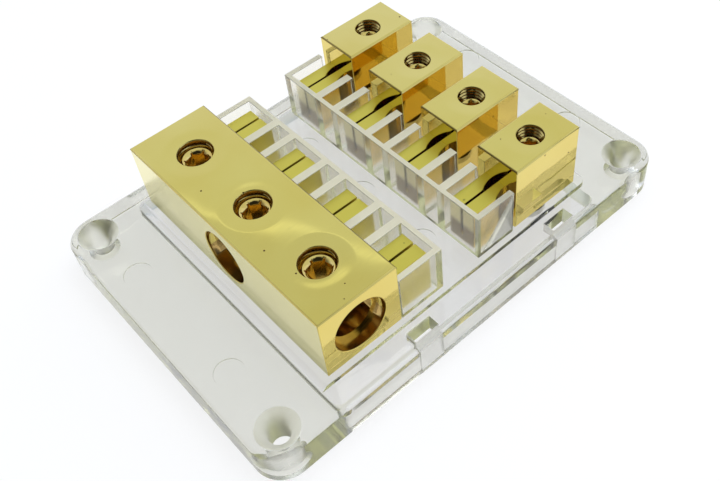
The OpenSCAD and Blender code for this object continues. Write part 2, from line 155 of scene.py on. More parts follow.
class FuseBlockBrass(bpy.types.PropertyGroup):
    """The supply bar and the outlet terminals"""

    light: tone("Light tone", "Colour of clean polished brass", (0.80, 0.66, 0.20))
    deep: tone("Deep tone", "Colour of the warmer patches", (0.77, 0.615, 0.165))
    finger: tone("Finger tone", "Colour of the fuse fingers", (0.76, 0.64, 0.11))
    # Painted light: a paler brass on the long faces with the cable ports, standing in for the bright floor they mirror;
    # their added roughness is a real haze
    front: tone("Front tone", "Colour of the long faces with the cable ports", (0.93, 0.87, 0.48))
    front_dull: share("Front dullness", "Added roughness of the long faces with the cable ports", 0.2)
    # Painted light and shade on the outlet fingers' ends: a pale lit tone, a dark painted shade at their foot, and the
    # height of that shade
    tip: tone("Tip tone", "Colour of the outlet fingers' ends", (0.92, 0.85, 0.50))
    tip_shade: tone("Tip shade", "Colour at the foot of the outlet fingers' ends", (0.28, 0.20, 0.10))
    tip_foot: length("Tip foot", "Height of the shade on the outlet fingers' ends", 4.6 * MM)
    # Painted shade: a darker brown on the walls deep inside the bored and tapped holes; their added roughness is the
    # real finish
    drilled_painted_shade: tone("Drilled tone", "Colour of the drilled and tapped walls", (0.55, 0.38, 0.14))
    # Painted reflection: a warmer, oranger brass on the terminals' faces that face each other, standing in for the
    # light they throw on each other
    flank_painted_reflection: tone("Flank tone", "Colour of the terminals' faces that face each other", (0.80, 0.585, 0.145))
    finger_dull: share("Finger dullness", "Roughness that milling adds to the fuse fingers", 0.32)
    drilled_dull: share("Drilled dullness", "Roughness that drilling adds", 0.16)
    # Painted shade: how dark the top edge over the fingers is painted, standing in for the shadowed gap behind it
    edge_painted_shade: share("Edge grime", "How far grime darkens the top edge over the fingers", 0.7)
    # Painted shade: how dark the prongs' reliefs are painted, standing in for the shade in those recesses
    relief_painted_shade: share("Relief grime", "How far grime darkens the reliefs beside the prongs' slot", 0.55)
    side_painted_shade: share("Side grime", "How far grime darkens the reliefs at the prongs' sides", 0.9)
    slot_reach: length("Slot reach", "Distance from a finger's middle within which the slot's reliefs lie", 1.8 * MM)
    # Dark colour shared by the small pit marks and by the painted shade on the top edge over the fingers and in the
    # prongs' reliefs
    speck_and_shade: tone("Speck tone", "Colour of the small pits", (0.16, 0.10, 0.03))
    polish: share("Polish", "Roughness of the polished faces", 0.03)
    edge_dull: share("Edge dullness", "Roughness that wear adds to the blocks' edges", 0.25)
    wave: length("Wave", "Depth of the slow waves that the polishing leaves", 0.10 * MM)
    dish: length("Dish", "Depth that the polishing sinks the metal round a screw hole", 0.05 * MM)
    dish_w: length("Dish width", "Width of that sunk ring", 3.2 * MM)
    edge_round: length("Edge rounding", "Rounding of the blocks' edges", 0.14 * MM)
    finger_round: length("Finger rounding", "Rounding of the fuse fingers' edges", 0.10 * MM)
    mouth_round: length("Mouth rounding", "Rounding of the cable ports' rims", 0.16 * MM)
    hole_round: length("Screw hole rounding", "Rounding of the screw holes' rims", 0.22 * MM)
    finger_l: length("Finger length", "Reach of the fuse fingers from the block", 8.5 * MM)
    seat_gap: length("Seat gap", "Lift of the brass off the plastic", 0.02 * MM)


class FuseBlockThread(bpy.types.PropertyGroup):
    """The threads of the clamp holes and clamp screws"""

    supply_pitch: length("Supply pitch", "Rise per turn in the supply bar", 1.0 * MM)
    outlet_pitch: length("Outlet pitch", "Rise per turn in the outlet terminals", 0.8 * MM)
    hole_gap: length("Hole gap", "Gap between a screw and its hole", 0.25 * MM)
    crest_gap: length("Crest gap", "Gap between the two threads' crests", 0.02 * MM)
    root: length("Root", "How far a thread's foot sinks into the metal", 0.06 * MM)
    supply_hole_l: length("Supply hole length", "Length of thread in the supply bar", 2.9 * MM)
    outlet_hole_l: length("Outlet hole length", "Length of thread in an outlet terminal", 3.3 * MM)
    lead_in: length("Lead-in", "Plain length at the rim of a hole", 0.3 * MM)
    # The threads in the holes take on that painted shade in part
    cut_dull: share("Cut dullness", "How far a cut thread takes on the drilled walls' look", 0.45)
    screw_depth: length("Screw thread depth", "Depth of the thread on a screw", 0.42 * MM)
    steps: IntProperty(name="Steps", description="Steps in one turn", default=40, min=12)


class FuseBlockScrew(bpy.types.PropertyGroup):
    """The clamp screws and the fixing screws"""

    gilt: tone("Gilt tone", "Colour of the clamp screws", (0.86, 0.68, 0.23))
    gilt_deep: tone("Deep gilt tone", "Colour of the clamp screws' worn patches", (0.78, 0.55, 0.15))
    gilt_polish: share("Gilt polish", "Roughness of the clamp screws", 0.05)
    # Painted shade on the clamp screws' socket floors: its darker, browner colour and how far it covers them
    painted_shade: tone("Grime tone", "Colour of the grime in the sockets", (0.70, 0.40, 0.07))
    floor_painted_shade: share("Floor grime", "How far grime covers the sockets' floors", 0.8)
    socket_reach: share("Socket reach", "Share of a screw's radius that the socket lies within", 0.75)
    socket_fit: share("Socket fit", "Width of a socket as a share of its width in the solid", 0.83)
    steel: tone("Steel tone", "Colour of the plated fixing screws", (0.62, 0.62, 0.60))
    steel_deep: tone("Deep steel tone", "Colour of the plating's darker patches", (0.45, 0.45, 0.42))
    steel_polish: share("Steel polish", "Roughness of the fixing screws", 0.28)


class FuseBlockStage(bpy.types.PropertyGroup):
    """Floor, light and camera"""

    floor: tone("Floor", "Colour of the floor", (0.90, 0.92, 0.96))
    floor_glow: share("Floor glow", "Share of the floor's white that needs no light", 0.8)
    floor_w: length("Floor width", "Half the width of the floor", 12.0)
    floor_gap: length("Floor gap", "Space between the floor and the part", 0.3 * MM)
    dark: tone("Dark side", "Colour of the room behind the camera", (0.10, 0.09, 0.08))
    dark_depth: share("Dark side depth", "How far the room behind the camera falls off", 0.9)
    dark_from: FloatVectorProperty(name="Dark side direction", description="Where the dark side lies", subtype="XYZ",
                                   default=(-0.90, -0.44, 0.0))
    stand: tone("Camera stand", "Colour of the camera's stand, as the brass mirrors it", (0.02, 0.02, 0.02))
    stand_reach: FloatProperty(name="Stand reach", description="Half the angle that the stand takes up",
                               subtype="ANGLE", default=math.radians(30.0))
    sky_low: FloatVectorProperty(name="Low sky", description="Light of the studio walls", subtype="COLOR",
                                 min=0.0, default=(0.80, 0.88, 1.12))
    sky_high: FloatVectorProperty(name="High sky", description="Light of the studio ceiling", subtype="COLOR",
                                  min=0.0, default=(0.73, 0.805, 0.82))
    sky_rise: FloatProperty(name="Sky rise", description="Sine of the height at which the ceiling starts", default=0.66)
    edge_across: FloatVectorProperty(name="Edge direction", description="Square to the ceiling's far edge",
                                     subtype="XYZ", default=(0.704, 0.403, -0.585))
    edge_place: FloatProperty(name="Edge place", description="Sine of the angle between that edge and the middle",
                              default=0.005)
    edge_line: FloatProperty(name="Edge line", description="Extra brightness along that edge", default=0.5, min=0.0)
    beyond_edge: share("Beyond the edge", "Brightness of the ceiling on the near side of it", 0.91)
    key: FloatProperty(name="Key", description="Power of the key lamp", default=5.0, min=0.0, unit="POWER")
    key_at: FloatVectorProperty(name="Key place", description="Place of the key lamp", subtype="XYZ", unit="LENGTH",
                                default=(0.12, -0.06, 0.85))
    key_w: length("Key width", "Width of the key lamp", 0.75)
    fill: FloatProperty(name="Fill", description="Power of the fill lamp", default=1.5, min=0.0, unit="POWER")
    fill_at: FloatVectorProperty(name="Fill place", description="Place of the fill lamp", subtype="XYZ",
                                 unit="LENGTH", default=(0.65, 0.00, 0.40))
    fill_w: length("Fill width", "Width of the fill lamp", 0.50)
    camera_at: FloatVectorProperty(name="Camera", description="Place of the camera", subtype="XYZ", unit="LENGTH",
                                   default=(-71.486 * MM, -103.295 * MM, 144.685 * MM))
    camera_turn: FloatVectorProperty(name="Camera turn", description="Turn of the camera", subtype="EULER",
                                     default=tuple(math.radians(a) for a in (40.4875, 3.2858, -42.5008)))
    lens: FloatProperty(name="Lens", description="Focal length on a 36 mm frame, in millimetres", default=46.12)
    shift: FloatVectorProperty(name="Shift", description="Shift of the frame", size=2, default=(-0.0692, -0.0279))


# ---------------------------------------------------------------- materials


def put(tree, kind, values=None, **settings):
    """One shader node with its settings and its sockets, each set to a value or linked to another socket."""
    made = tree.nodes.new(kind)
    for key, value in settings.items():
        setattr(made, key, value)
    for key, value in (values or {}).items():
        if isinstance(value, bpy.types.NodeSocket):
            tree.links.new(value, made.inputs[key])
        else:
            made.inputs[key].default_value = value
    return made


def sums(tree, operation, *values):
    """The result of a Math node."""
    return put(tree, "ShaderNodeMath", dict(enumerate(values)), operation=operation).outputs[0]


def ranged(tree, value, low, high, to_low, to_high, smooth=False):
    """A value carried from one range to another."""
    steps = "SMOOTHSTEP" if smooth else "LINEAR"
    values = {"Value": value, "From Min": low, "From Max": high, "To Min": to_low, "To Max": to_high}
    return put(tree, "ShaderNodeMapRange", values, interpolation_type=steps).outputs["Result"]


def noise(tree, coordinates, scale, detail, stretch=(1.0, 1.0, 1.0)):
    """Noise with a given number of features to the metre, stretched along the axes."""
    moved = put(tree, "ShaderNodeMapping", {"Vector": coordinates, "Scale": stretch}).outputs[0]
    return put(tree, "ShaderNodeTexNoise", {"Vector": moved, "Scale": scale, "Detail": detail}).outputs["Fac"]


def mixed(tree, factor, a, b):
    """A colour between two colours."""
    return put(tree, "ShaderNodeMix", {0: factor, 6: a, 7: b}, data_type="RGBA").outputs[2]


def opaque(colour):
    """A colour with its fourth value."""
    return (*colour, 1.0)


def marked(tree, name):
    """The number that each face keeps under a name."""
    return put(tree, "ShaderNodeAttribute", attribute_name=name).outputs["Fac"]


def started(name):
    """A new material, its node tree, its shader and its Object coordinates."""
    material = bpy.data.materials.new(name)
    material.use_nodes = True
    tree = material.node_tree
    shader = tree.nodes["Principled BSDF"]
    return material, tree, shader, put(tree, "ShaderNodeTexCoord").outputs["Object"]


def relief(tree, shader, height):
    """Bumps the surface by a height in metres."""
    bump = put(tree, "ShaderNodeBump", {"Height": height, "Distance": 1.0, "Strength": 1.0})
    tree.links.new(bump.outputs[0], shader.inputs["Normal"])


def plastic_material(props):
    """Clear moulded plastic: polished, grained and scuffed faces, a tint that builds up with depth, and a painted pale
    sheen on the cell walls' rims.
    """
    material, tree, shader, place = started("clear_plastic")
    shader.inputs["IOR"].default_value = props.ior
    grained, rims = marked(tree, "grain"), marked(tree, "rim")
    cast = put(tree, "ShaderNodeAttribute", attribute_name="cast").outputs["Color"]
    tree.links.new(cast, shader.inputs["Base Color"])
    tree.links.new(ranged(tree, rims, 0.0, 1.0, 1.0, props.rim_clear), shader.inputs["Transmission Weight"])
    handled = ranged(tree, noise(tree, place, HANDLED_SCALE, FINE), *HANDLED_SPAN, 0.0, HANDLED_DULL)
    polished = sums(tree, "ADD", props.polish, handled)
    rough = sums(tree, "MAXIMUM", polished, sums(tree, "MULTIPLY", grained, props.frost))
    rough = sums(tree, "MAXIMUM", rough, sums(tree, "MULTIPLY", rims, props.rim_dull))
    tree.links.new(rough, shader.inputs["Roughness"])
    relief(tree, shader, sums(tree, "MULTIPLY", noise(tree, place, RIPPLE_SCALE, SMOOTH), props.ripple))
    depth = put(tree, "ShaderNodeVolumeAbsorption", {"Color": opaque(props.depth_tint), "Density": props.depth_density})
    tree.links.new(depth.outputs[0], tree.nodes["Material Output"].inputs["Volume"])
    return material


def brass_material(name, props, axis_x, first_y, pitch, radius):
    """Polished brass: slow waves and sunk rings round the screw holes from the polishing, fine lines, a few small pit
    marks, and painted light and shade: a paler tone on the long faces with the cable ports, a warmer painted reflection
    where the terminals face each other, pale outlet fingers' ends with painted shade at their foot, darker painted
    shade inside the holes, and dark painted shade on the top edge over the fingers and in the prongs' reliefs. The
    holes stand in a row along Y."""
    material, tree, shader, place = started(name)
    shader.inputs["Metallic"].default_value = 1.0
    split = put(tree, "ShaderNodeSeparateXYZ", {0: place}).outputs
    across = sums(tree, "SUBTRACT", split[0], axis_x)
    along = sums(tree, "WRAP", sums(tree, "SUBTRACT", split[1], first_y), pitch / 2, -pitch / 2)
    squared = sums(tree, "ADD", sums(tree, "MULTIPLY", across, across), sums(tree, "MULTIPLY", along, along))
    away = sums(tree, "SQRT", squared)
    sunk = ranged(tree, away, radius, radius + props.dish_w, 0.0, props.dish, smooth=True)

    cells = put(tree, "ShaderNodeTexVoronoi", {"Vector": place, "Scale": SPECK_SCALE})
    drawn = put(tree, "ShaderNodeSeparateColor", {0: cells.outputs["Color"]}).outputs[0]
    picked = sums(tree, "GREATER_THAN", drawn, SPECK_EMPTY)
    near = sums(tree, "LESS_THAN", cells.outputs["Distance"], SPECK_REACH)
    # Real small pit marks, together with the faces marked for painted shade, which take the same dark colour
    pits_and_painted_shade = sums(tree, "MAXIMUM", sums(tree, "MULTIPLY", picked, near), marked(tree, "painted_shade"))

    names = ("finger", "tip", "drilled_painted_shade", "worn", "flank_painted_reflection", "front")
    finger, tip, drilled_painted_shade, worn, flank_painted_reflection, front = (marked(tree, name) for name in names)
    patch = ranged(tree, noise(tree, place, PATCH_SCALE, FINE), *PATCH_SPAN, 0.0, 1.0)
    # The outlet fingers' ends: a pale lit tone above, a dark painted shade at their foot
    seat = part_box("supply_bar")[0].z
    foot = ranged(tree, split[2], seat + (1 - FOOT_BLUR) * props.tip_foot, seat + (1 + FOOT_BLUR) * props.tip_foot,
                  1.0, 0.0)
    ends = mixed(tree, foot, opaque(props.tip), opaque(props.tip_shade))
    metal = mixed(tree, patch, opaque(props.light), opaque(props.deep))
    # Colours in turn: painted reflection where the terminals face each other, painted light on the long faces with the
    # cable ports, the fingers' own tone, painted light and shade on the outlet fingers' ends, painted shade inside the
    # holes, and the small pit marks with painted shade in one dark colour
    for mask, colour in ((flank_painted_reflection, opaque(props.flank_painted_reflection)), (front, opaque(props.front)), (finger, opaque(props.finger)),
                         (tip, ends), (drilled_painted_shade, opaque(props.drilled_painted_shade)), (pits_and_painted_shade, opaque(props.speck_and_shade))):
        metal = mixed(tree, mask, metal, colour)
    tree.links.new(metal, shader.inputs["Base Color"])

    hazy = ranged(tree, noise(tree, place, HAZE_SCALE, FINE), *HAZE_SPAN, 0.0, HAZE_DULL)
    lines = ranged(tree, noise(tree, place, LINE_SCALE, PLAIN, LINE_STRETCH), *LINE_SPAN, 0.0, LINE_DULL)
    rough = sums(tree, "ADD", sums(tree, "ADD", props.polish, hazy), lines)
    for mask, dull in ((drilled_painted_shade, props.drilled_dull), (finger, props.finger_dull), (front, props.front_dull),
                       (worn, props.edge_dull), (pits_and_painted_shade, SPECK_AND_SHADE_DULL)):
        rough = sums(tree, "ADD", rough, sums(tree, "MULTIPLY", mask, dull))
    tree.links.new(rough, shader.inputs["Roughness"])

    slow = sums(tree, "MULTIPLY", noise(tree, place, WAVE_SCALE, SMOOTH), props.wave)
    relief(tree, shader, sums(tree, "ADD", slow, sunk))
    return material


def plated_material(name, light, deep, polish, painted_shade):
    """A turned and plated screw: warm and dull patches, a fine grain, painted shade on its socket's floor."""
    material, tree, shader, place = started(name)
    shader.inputs["Metallic"].default_value = 1.0
    patch = ranged(tree, noise(tree, place, PLATE_PATCH_SCALE, FINE), *PATCH_SPAN, 0.0, 1.0)
    # Faces marked for painted shade: the sockets' floors, darker and rougher
    painted_shade_mask = marked(tree, "painted_shade")
    metal = mixed(tree, painted_shade_mask, mixed(tree, patch, opaque(light), opaque(deep)), opaque(painted_shade))
    tree.links.new(metal, shader.inputs["Base Color"])
    rough = ranged(tree, noise(tree, place, PLATE_DULL_SCALE, PLAIN), *HAZE_SPAN, polish, polish + PLATE_DULL_SPREAD)
    rough = sums(tree, "ADD", rough, sums(tree, "MULTIPLY", painted_shade_mask, PAINTED_SHADE_DULL))
    tree.links.new(rough, shader.inputs["Roughness"])
    relief(tree, shader, sums(tree, "MULTIPLY", noise(tree, place, PLATE_PEEL_SCALE, PLAIN), PLATE_PEEL))
    return material


# ---------------------------------------------------------------- shapes


def node_copy(node, cuts=()):
    """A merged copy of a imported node's mesh, with its flat faces joined up. Cuts, each an axis and a place on it,
    run through the middles of the holes, so that the joins meet the holes' rims squarely."""
    bm = bmesh.new()
    bm.from_mesh(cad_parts[node].data)
    bmesh.ops.remove_doubles(bm, verts=bm.verts, dist=MERGED)
    for axis, place in cuts:
        square = Vector([float(axis == i) for i in range(3)])
        made = bmesh.ops.bisect_plane(bm, geom=[*bm.verts, *bm.edges, *bm.faces], dist=MERGED,
                                      plane_co=square * place, plane_no=square)
        for edge in made["geom_cut"]:
            if isinstance(edge, bmesh.types.BMEdge):
                edge.seam = True
    bmesh.ops.dissolve_limit(bm, angle_limit=FLAT_ANGLE, verts=bm.verts, edges=bm.edges, delimit={"SEAM"})
    return bm


def round_edges(bm, width, segments, wanted):
    """Rounds the outward edges whose two ends pass a test."""
    chosen = []
    for edge in bm.edges:
        if len(edge.link_faces) == 2 and edge.calc_face_angle_signed() > EDGE_ANGLE:
            a, b = (v.co for v in edge.verts)
            if wanted(a, b):
                chosen.append(edge)
    if not chosen:
        raise RuntimeError("no edge passes the test")
    bmesh.ops.bevel(bm, geom=chosen, offset=width, offset_type="OFFSET", affect="EDGES", segments=segments,
                    profile=0.5, material=-1, clamp_overlap=False, loop_slide=True)


def fresh_cone(bm, faces):
    """Lays a cone's faces afresh, as one ring between its two rims."""
    bmesh.ops.delete(bm, geom=faces, context="FACES")
    rims = [edge for edge in bm.edges if edge.is_boundary]
    ring = bmesh.ops.bridge_loops(bm, edges=rims)["faces"]
    if not ring or len(ring) * 2 != len(rims):
        raise RuntimeError("the cone's rims don't match")


def at(a, b, axis, value, slack=0.03 * MM):
    """Both ends of an edge lie in a plane across an axis."""
    return abs(a[axis] - value) < slack and abs(b[axis] - value) < slack


def inset(point, low, high, corner):
    """How far a point lies inside a rectangle with round corners."""
    over_x = abs(point.x - (low.x + high.x) / 2) - (high.x - low.x) / 2 + corner
    over_y = abs(point.y - (low.y + high.y) / 2) - (high.y - low.y) / 2 + corner
    return corner - math.hypot(max(over_x, 0.0), max(over_y, 0.0)) - min(max(over_x, over_y), 0.0)


def finished(name, bm, body, slot, material, *nodes):
    """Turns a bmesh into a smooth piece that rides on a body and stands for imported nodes."""
    mesh = bpy.data.meshes.new(name)
    bm.to_mesh(mesh)
    bm.free()
    mesh.shade_smooth()
    mesh.set_sharp_from_angle(angle=SHARP_ANGLE)
    mesh.materials.append(material)
    piece = bpy.data.objects.new(name, mesh)
    bpy.context.scene.collection.objects.link(piece)
    flat = piece.modifiers.new("Flat faces", "WEIGHTED_NORMAL")
    flat.keep_sharp = True
    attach(piece, body)
    if nodes:
        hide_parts(*nodes)


def thread(bm, axis, foot_r, crest_r, low, high, pitch, steps):
    """A closed helical ridge round an upright axis, which fades out at both ends."""
    half = RIDGE_FOOT * pitch
    crest = RIDGE_CREST * half
    turns = (high - low - 2 * half) / pitch
    count = int(round(turns * steps))
    start = low + half
    ends = [(foot_r, -half), (crest_r, -crest), (crest_r, crest), (foot_r, half)]
    verts = [bm.verts.new((axis[0] + r, axis[1], start + z)) for r, z in ends]
    edges = [bm.edges.new((verts[i], verts[(i + 1) % len(verts)])) for i in range(len(verts))]
    known = set(bm.verts)
    bmesh.ops.spin(bm, geom=verts + edges, cent=(axis[0], axis[1], 0.0), axis=(0.0, 0.0, 1.0),
                   dvec=(0.0, 0.0, (high - low - 2 * half) / count), angle=2 * math.pi * turns, steps=count,
                   use_merge=False, use_normal_flip=False, use_duplicate=False)
    ridge = verts + [v for v in bm.verts if v not in known]
    reach = FADE_REACH * half
    for vert in ridge:
        spread = Vector((vert.co.x - axis[0], vert.co.y - axis[1]))
        if abs(spread.length - crest_r) < MERGED / 2:
            fade = min(1.0, (vert.co.z - low) / reach, (high - vert.co.z) / reach)
            if fade < 1.0:
                left = max(0.0, FADE_SLOPE * fade - (FADE_SLOPE - 1.0))
                spread *= (foot_r + (crest_r - foot_r) * left) / spread.length
                vert.co.x, vert.co.y = axis[0] + spread.x, axis[1] + spread.y
    loose = [e for e in bm.edges if len(e.link_faces) == 1 and all(v in set(ridge) for v in e.verts)]
    bmesh.ops.holes_fill(bm, edges=loose, sides=len(ends))
    faces = {f for v in ridge for f in v.link_faces}
    bmesh.ops.recalc_face_normals(bm, faces=list(faces))


def seated(bm, gap):
    """Lifts a block's lowest face off its seat."""
    low = min(v.co.z for v in bm.verts)
    for vert in bm.verts:
        if vert.co.z - low < SAME:
            vert.co.z += gap


def brass_block(node, props, front_x, finger_side, flank_ys=()):
    """A copy of a brass block with its edges, fingers, port rims and screw hole rims rounded, and its faces marked for
    their finish and for painted light, shade and reflection. Its faces at some places along Y are flanks."""
    low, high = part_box(node)
    holes = [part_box(n) for n in SUPPLY_SCREWS + OUTLET_SCREWS]
    centres = [((a.x + b.x) / 2, (a.y + b.y) / 2) for a, b in holes]
    inside = [(x, y) for x, y in centres if low.x < x < high.x and low.y < y < high.y]
    bm = node_copy(node, [(0, inside[0][0])] + [(1, y) for x, y in inside])
    finger_top = max(v.co.z for v in bm.verts if finger_side * (v.co.x - front_x) > PLAINLY)
    hole_reach, upright_l, top_band, port_top = 4.0 * MM, 4.0 * MM, 0.5 * MM, 0.8 * MM
    sides = [(0, low.x if finger_side > 0 else high.x), (1, low.y), (1, high.y)]

    def beside(a, b):
        return min(finger_side * (point.x - front_x) for point in (a, b)) > -SAME

    def on_screw_hole(a, b):
        middle = (a + b) / 2
        near = min(math.hypot(middle.x - x, middle.y - y) for x, y in inside)
        return at(a, b, 2, high.z) and near < hole_reach

    def block_edge(a, b):
        if on_screw_hole(a, b) or at(a, b, 2, low.z):
            return False
        on = [axis for axis, value in sides + [(0, front_x)] if at(a, b, axis, value)]
        top = at(a, b, 2, high.z) or (abs(a.z - b.z) < SAME and a.z > high.z - top_band)
        return top or (abs(a.z - b.z) > upright_l and len(on) >= 2)

    def finger_edge(a, b):
        return beside(a, b) and low.z + PLAINLY < max(a.z, b.z) < finger_top + NEAR / 2

    def mouth(a, b):
        on = [axis for axis, value in sides if at(a, b, axis, value)]
        level = low.z + PLAINLY < (a.z + b.z) / 2 < high.z - port_top
        return level and len(on) == 1 and (a - b).length < PLAINLY

    round_edges(bm, props.hole_round, 3, on_screw_hole)
    round_edges(bm, props.mouth_round, 2, mouth)
    round_edges(bm, props.finger_round, 2, finger_edge)
    round_edges(bm, props.edge_round, 2, block_edge)
    seated(bm, props.seat_gap)
    names = ("finger", "tip", "drilled_painted_shade", "worn", "flank_painted_reflection", "front", "painted_shade")
    finger, tip, drilled_painted_shade, worn, flank_painted_reflection, front, painted_shade = (bm.faces.layers.float.new(name) for name in names)
    slight, bevelled = 0.05, 0.97
    wall_depth, hole_depth, shoulder_depth = 0.3 * MM, 0.4 * MM, 3.0 * MM
    for face in bm.faces:
        middle, normal = face.calc_center_median(), face.normal
        depth = min(abs(middle[axis] - value) for axis, value in sides + [(0, front_x), (2, low.z)])
        # Painted shade: the rounded top edge over the fingers is darkened, standing in for the shadowed gap behind it
        if middle.z > high.z - top_band and finger_side * normal.x > LEANING and normal.z > slight:
            face[painted_shade] = props.edge_painted_shade
        elif finger_side * (middle.x - front_x) > TOUCHING:
            # Painted reflection: the outlet fingers' sides that face a neighbour take the same warmer tone
            side = bool(flank_ys) and abs(normal.y) > LOOKING
            face[flank_painted_reflection if side else finger] = 1.0
            # Painted shade: the curved faces of the outlet prongs' reliefs are darkened, standing in for the shade in
            # those recesses
            curved = slight < abs(normal.x) < SQUARE and abs(normal.z) < slight
            if curved and finger_side < 0:
                outer = abs(middle.y - (low.y + high.y) / 2) > props.slot_reach
                face[painted_shade] = props.side_painted_shade if outer else props.relief_painted_shade
            # Painted light and shade: the outlet fingers' ends, pale above and shaded at the foot
            face[tip] = 1.0 if normal.x < -LOOKING and middle.x < low.x + NEAR / 2 else 0.0
        # Painted reflection: the blocks' faces that face a neighbouring terminal take the warmer tone
        elif any(abs(middle.y - y) < TOUCHING for y in flank_ys):
            face[flank_painted_reflection] = 1.0
        # Painted light: the long faces with the cable ports, paler and hazier
        elif abs(middle.x - sides[0][1]) < TOUCHING:
            face[front] = 1.0
        # Painted shade: walls deep inside the holes take the darker brown, the shallow shoulders near the mouths stay
        # bright
        elif depth > wall_depth and middle.z < high.z - hole_depth:
            shoulder = max(abs(normal.x), abs(normal.y)) > SQUARE and depth < shoulder_depth
            face[drilled_painted_shade] = 0.0 if shoulder else 1.0
        elif max(abs(part) for part in normal) < bevelled:
            face[worn] = 1.0
    return bm


def row_brass(scene, name, screws):
    """The brass of the blocks that hold a row of clamp screws."""
    (low, high), (next_low, _) = (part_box(n) for n in screws[:2])
    radius = (high.x - low.x) / 2 + scene.fuse_block_thread.hole_gap
    return brass_material(name, scene.fuse_block_brass, (low.x + high.x) / 2, (low.y + high.y) / 2,
                          next_low.y - low.y, radius)


# ---------------------------------------------------------------- operators


class FUSEBLOCK_OT_clear_base(bpy.types.Operator):
    """Make the clear base with rounded rims, edges and holes"""

    bl_idname = "fuse_block.clear_base"
    bl_label = "Clear base"

    def execute(self, context):
        props = context.scene.fuse_block_plastic
        low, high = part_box("base_plate")
        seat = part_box("supply_bar")[0].z
        bm = node_copy("base_plate")
        cone_up, wall_l, step_h = 0.95, 8.0 * MM, 0.5 * MM
        for side_x, side_y, upward in itertools.product((-1, 1), repeat=3):
            axis = Vector((side_x * props.hole_x, side_y * props.hole_y))
            fresh_cone(bm, [face for face in bm.faces if LEANING < upward * face.normal.z < cone_up and all(
                (vert.co.xy - axis).length < props.hole_reach for vert in face.verts)])
        bmesh.ops.recalc_face_normals(bm, faces=bm.faces)
        plate_top = max(v.co.z for v in bm.verts if v.co.z < seat - step_h)
        step = [v.co for v in bm.verts if abs(v.co.z - seat) < SAME]
        step_low, step_high = (Vector([f(c[i] for c in step) for i in range(3)]) for f in (min, max))

        def plate_inset(point):
            return inset(point, low, high, props.plate_corner)

        def plate_top_edge(a, b):
            flat = abs(a.z - b.z) < SAME and plate_top - PLAINLY < a.z < plate_top + NEAR
            return flat and plate_inset((a + b) / 2) < props.plate_edge + NEAR

        def plate_foot(a, b):
            return at(a, b, 2, low.z) and plate_inset((a + b) / 2) < NEAR

        def platform_edge(a, b):
            return at(a, b, 2, seat) and inset((a + b) / 2, step_low, step_high, props.platform_corner) < NEAR

        def hole_rim(a, b):
            beside_holes = abs((a + b).x / 2) > props.hole_x - props.hole_reach
            return at(a, b, 2, plate_top) and beside_holes and plate_inset((a + b) / 2) > props.plate_edge + 2 * NEAR

        round_edges(bm, props.rim_round, 2, lambda a, b: at(a, b, 2, high.z))
        round_edges(bm, props.rim_round, 2, lambda a, b: abs(a.z - b.z) > wall_l)
        round_edges(bm, props.platform_round, 3, platform_edge)
        round_edges(bm, props.plate_round, 3, plate_top_edge)
        round_edges(bm, props.plate_round, 2, plate_foot)
        round_edges(bm, props.hole_round, 2, hole_rim)
        grain, rim = (bm.faces.layers.float.new(name) for name in ("grain", "rim"))
        cast = bm.faces.layers.float_color.new("cast")
        tint, frosted = Vector(props.tint), Vector(props.frost_tone)
        rim_up, lower_cone, below_top = 0.7, 2.0 * MM, 0.3 * MM
        for face in bm.faces:
            middle, colour = face.calc_center_median(), tint
            inside = plate_inset(middle) > props.plate_edge + 2 * NEAR
            if face.normal.z < -LEANING and not (inside and NEAR < middle.z < lower_cone):
                face[grain] = props.under_grain
            elif inside and middle.z < plate_top - below_top:
                slot = middle.z > props.ceiling and abs(middle.x) < props.hole_x - props.hole_reach
                face[grain] = props.wall_grain if slot else props.hole_grain
                colour = tint if slot else tint.lerp(frosted, props.hole_grain)
            # Painted sheen: the rims take the pale rim colour and let less light through
            elif face.normal.z > rim_up and middle.z > high.z - NEAR:
                face[rim] = 1.0
                colour = Vector(props.rim_painted_sheen)
            elif face.normal.x < -LEANING and plate_top < middle.z < seat:
                face[grain] = props.ramp_grain
            elif abs(face.normal.z) < LEANING and middle.z > seat:
                face[grain] = props.wall_grain
                colour = Vector(props.wall_tone)
            face[cast] = colour.to_4d()
        finished("clear_base", bm, FIXED, "clear_plastic", plastic_material(props), "base_plate")
        return {"FINISHED"}


class FUSEBLOCK_OT_supply_bar(bpy.types.Operator):
    """Make the brass supply bar with its four fuse fingers"""

    bl_idname = "fuse_block.supply_bar"
    bl_label = "Supply bar"

    def execute(self, context):
        props = context.scene.fuse_block_brass
        material = row_brass(context.scene, "supply_brass", SUPPLY_SCREWS)
        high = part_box("supply_bar")[1]
        bm = brass_block("supply_bar", props, high.x - props.finger_l, 1)
        finished("brass_supply_bar", bm, FIXED, "brass", material, "supply_bar")
        return {"FINISHED"}


class FUSEBLOCK_OT_outlet_terminals(bpy.types.Operator):
    """Make the four brass outlet terminals with their fuse fingers"""

    bl_idname = "fuse_block.outlet_terminals"
    bl_label = "Outlet terminals"

    def execute(self, context):
        props = context.scene.fuse_block_brass
        material = row_brass(context.scene, "outlet_brass", OUTLET_SCREWS)
        for node in OUTLETS:
            low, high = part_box(node)
            flank_ys = [low.y] * (node != OUTLETS[0]) + [high.y] * (node != OUTLETS[-1])
            bm = brass_block(node, props, low.x + props.finger_l, -1, flank_ys)
            finished(f"brass_{node}", bm, FIXED, "brass", material, node)
        return {"FINISHED"}


